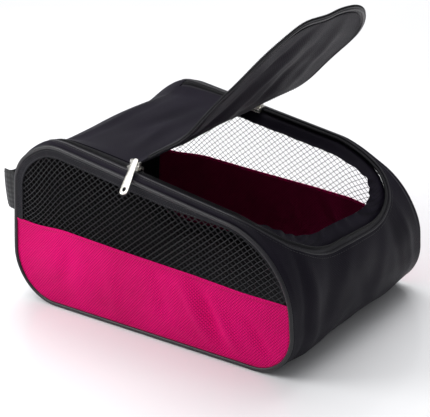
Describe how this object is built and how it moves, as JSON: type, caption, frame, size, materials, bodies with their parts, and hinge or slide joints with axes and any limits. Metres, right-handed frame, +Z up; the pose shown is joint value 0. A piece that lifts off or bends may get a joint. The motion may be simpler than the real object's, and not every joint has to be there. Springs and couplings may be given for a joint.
{
  "type": "shoe bag",
  "caption": "Wedge-shaped soft shoe bag with net-topped side panels, a zipped U-shaped lid folded open, zip sliders with swinging pull tabs and a webbing handle at the heel.",
  "frame": {"origin": "centre of the flat base, on the surface the bag stands on", "axes": "+X from heel to toe, -Y the near side panel, +Z up"},
  "size_m": [0.344, 0.2412, 0.2798],
  "materials": {
    "black_cloth": "black polyester weave, soft sheen",
    "lining_cloth": "dark grey polyester lining",
    "pink_cloth": "hot pink polyester weave",
    "black_net": "open knitted net",
    "grey_strip": "dark grey woven strip",
    "piping_cord": "cloth-covered piping",
    "seam_tape": "ribbed binding tape",
    "zip_tape": "herringbone zip tape",
    "zip_coil": "nylon coil",
    "zip_metal": "bright nickel plate",
    "webbing": "ribbed webbing",
    "board": "stiff sheet"
  },
  "bodies": {
    "bag": {"base_panel": "black_cloth", "base_board": "board", "heel_panel": "black_cloth", "toe_panel": "black_cloth", "near_top_band": "black_cloth", "far_top_band": "black_cloth", "rear_top_panel": "black_cloth", "toe_facing": "black_cloth", "fold_roll": "black_cloth", "near_lower_panel": "pink_cloth", "far_lower_panel": "pink_cloth", "near_net_panel": "black_net", "far_net_panel": "black_net", "near_net_edge_strip": "grey_strip", "far_net_edge_strip": "grey_strip", "near_piping": "piping_cord", "far_piping": "piping_cord", "near_seam_binding": "seam_tape", "far_seam_binding": "seam_tape", "opening_zip_tape": "zip_tape", "opening_zip_coil": "zip_coil", "rear_zip_tape_near": "zip_tape", "rear_zip_tape_far": "zip_tape", "rear_zip_coil_near": "zip_coil", "rear_zip_coil_far": "zip_coil", "heel_handle": "webbing"},
    "lid_rear": {"lid_rear_panel": "black_cloth", "lid_rear_lining": "lining_cloth", "lid_rear_zip_tape": "zip_tape", "lid_rear_zip_coil": "zip_coil"},
    "lid_middle": {"lid_middle_panel": "black_cloth", "lid_middle_lining": "lining_cloth", "lid_middle_zip_tape": "zip_tape", "lid_middle_zip_coil": "zip_coil"},
    "lid_toe": {"lid_toe_panel": "black_cloth", "lid_toe_lining": "lining_cloth", "lid_toe_zip_tape": "zip_tape", "lid_toe_zip_coil": "zip_coil"},
    "near_slider": {"near_slider": "zip_metal", "near_slider_bridge": "zip_metal"},
    "near_tab": {"near_pull_tab": "zip_metal"},
    "far_slider": {"far_slider": "zip_metal", "far_slider_bridge": "zip_metal"},
    "far_tab": {"far_pull_tab": "zip_metal"}
  },
  "joints": [
    {"name": "lid_fold", "type": "hinge", "parent": "bag", "child": "lid_rear", "pos_m": [-0.012, 0, 0.16053], "axis": [0, -1, 0], "range_deg": [-34, 32]},
    {"name": "lid_bend", "type": "hinge", "parent": "lid_rear", "child": "lid_middle", "pos_m": [0.04265, 0, 0.1853], "axis": [0, -1, 0], "range_deg": [-20.2, 19.2]},
    {"name": "lid_toe_bend", "type": "hinge", "parent": "lid_middle", "child": "lid_toe", "pos_m": [0.09042, 0, 0.23036], "axis": [0, -1, 0], "range_deg": [-42.4, 40]},
    {"name": "near_slider_run", "type": "slide", "parent": "bag", "child": "near_slider", "axis": [0.986, 0, -0.167], "range_m": [-0.084, 0.098]},
    {"name": "near_tab_swing", "type": "hinge", "parent": "near_slider", "child": "near_tab", "pos_m": [-0.01086, -0.0935, 0.16774], "axis": [-0.986, 0, 0.167], "range_deg": [0, 110]},
    {"name": "far_slider_run", "type": "slide", "parent": "bag", "child": "far_slider", "axis": [0.986, 0, -0.167], "range_m": [-0.084, 0.098]},
    {"name": "far_tab_swing", "type": "hinge", "parent": "far_slider", "child": "far_tab", "pos_m": [-0.01086, 0.0935, 0.16774], "axis": [0.986, 0, -0.167], "range_deg": [0, 110]}
  ],
  "couplings": [
    {"joint": "lid_bend", "follows": "lid_fold", "ratio": 0.5882},
    {"joint": "lid_toe_bend", "follows": "lid_fold", "ratio": 1.2353}
  ]
}
